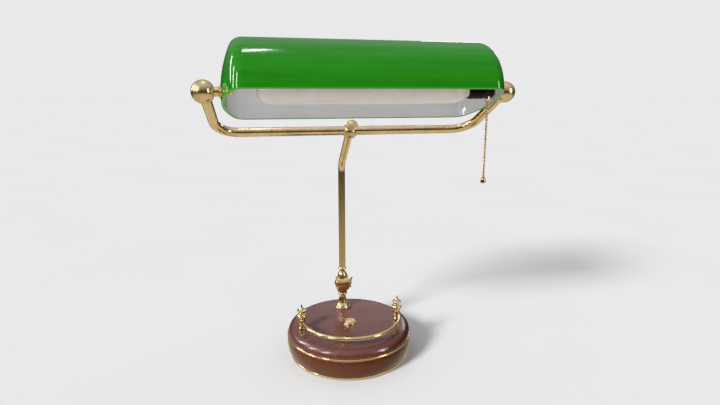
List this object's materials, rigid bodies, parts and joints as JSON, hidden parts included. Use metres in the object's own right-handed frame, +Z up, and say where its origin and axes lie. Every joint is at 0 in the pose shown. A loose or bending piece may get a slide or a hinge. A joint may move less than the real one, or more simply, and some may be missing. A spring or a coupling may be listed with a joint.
{
  "type": "desk lamp",
  "caption": "Desk lamp with a long cased-glass shade on a tilting brass yoke, a jointed column, a turned wooden base with a gallery rail, a push button and a bead pull chain.",
  "frame": {"origin": "centre of the base's underside, on the surface that the lamp stands on", "axes": "+Z up; -Y the lamp's front, towards which the column leans and the shade opens; +X the end of the shade with the socket and the pull chain"},
  "size_m": [0.3572, 0.2322, 0.406],
  "materials": {
    "felt": "green felt pad",
    "mahogany": "polished reddish-brown hardwood with a gloss coat",
    "mahogany_top": "polished hardwood top board",
    "brass": "polished brass",
    "iron": "cast iron ballast",
    "steel": "zinc-plated steel",
    "green_glass": "green cased glass, glossy",
    "opal_glass": "white opal lining",
    "bulb_glass": "frosted tubular bulb",
    "filament": "tungsten coil on nickel leads",
    "bakelite": "black moulded socket",
    "rubber": "soft washer"
  },
  "bodies": {
    "base": {"felt_pad": "felt", "bottom_band": "brass", "base_lower": "mahogany", "inlay_ring": "brass", "base_top": "mahogany_top", "ballast_plate": "iron", "ballast_screw_1": "steel", "ballast_screw_2": "steel", "ballast_screw_3": "steel", "cord_bush": "brass", "gallery_rail": "brass", "rail_post_left": "brass", "rail_post_right": "brass", "post_stud_left": "steel", "post_stud_right": "steel", "finial_left": "brass", "finial_right": "brass", "button_bezel": "brass", "switch_body": "bakelite", "column_flange": "brass", "column_bell": "brass", "column_nipple": "brass", "nipple_washer": "steel", "nipple_nut": "steel", "knuckle_fork": "brass", "knuckle_bolt": "brass", "knuckle_washer_left": "brass", "knuckle_washer_right": "brass"},
    "column": {"knuckle_tongue": "brass", "tube_collar": "brass", "column_tube": "brass", "clamp_ball": "brass"},
    "yoke": {"yoke_tube": "brass", "yoke_ball_left": "brass", "yoke_ball_right": "brass"},
    "shade": {"shade_glass": "green_glass", "shade_lining": "opal_glass", "pivot_stud_left": "brass", "pivot_stud_right": "brass", "shade_spacer_left": "brass", "shade_spacer_right": "brass", "shade_washer_left": "brass", "shade_washer_right": "brass", "inner_washer_left": "rubber", "inner_washer_right": "rubber", "shade_nut_left": "brass", "shade_nut_right": "brass", "socket_cap": "bakelite", "socket_shell": "bakelite", "socket_ring": "brass", "chain_mouth": "brass", "bulb_glass": "bulb_glass", "bulb_cap": "brass", "filament": "filament"},
    "pull_link": {"pull_link": "brass"},
    "pull_chain": {"bead_chain": "brass", "chain_bell": "brass"},
    "wing_nut": {"wing_nut": "brass"},
    "clamp_screw": {"clamp_screw": "brass"},
    "push_button": {"push_button": "brass"}
  },
  "joints": [
    {"name": "knuckle_tilt", "type": "hinge", "parent": "base", "child": "column", "pos_m": [0, 0.0483, 0.0796], "axis": [1, 0, 0], "range_deg": [-25, 20]},
    {"name": "yoke_tilt", "type": "hinge", "parent": "column", "child": "yoke", "pos_m": [0, -0.011, 0.3053], "axis": [1, 0, 0], "range_deg": [-40, 35]},
    {"name": "shade_tilt", "type": "hinge", "parent": "yoke", "child": "shade", "pos_m": [0, -0.0876, 0.3523], "axis": [1, 0, 0], "range_deg": [-50, 50]},
    {"name": "chain_pull", "type": "slide", "parent": "shade", "child": "pull_link", "axis": [0, 0, -1], "range_m": [0, 0.006], "stiffness_N_per_m": 300, "springref_m": -0.002},
    {"name": "chain_swing", "type": "hinge", "parent": "pull_link", "child": "pull_chain", "pos_m": [0.138, -0.1035, 0.3425], "axis": [1, 0, 0], "range_deg": [-50, 50]},
    {"name": "wing_nut_turn", "type": "hinge", "parent": "base", "child": "wing_nut", "pos_m": [0.0113, 0.0483, 0.0796], "axis": [1, 0, 0], "range_deg": [-45, 270]},
    {"name": "clamp_screw_turn", "type": "hinge", "parent": "column", "child": "clamp_screw", "pos_m": [0, -0.011, 0.3053], "axis": [0, -0.8746, 0.4848], "range_deg": [-45, 270]},
    {"name": "button_press", "type": "slide", "parent": "base", "child": "push_button", "axis": [0, 0, -1], "range_m": [0, 0.0025], "stiffness_N_per_m": 800, "springref_m": -0.002}
  ]
}
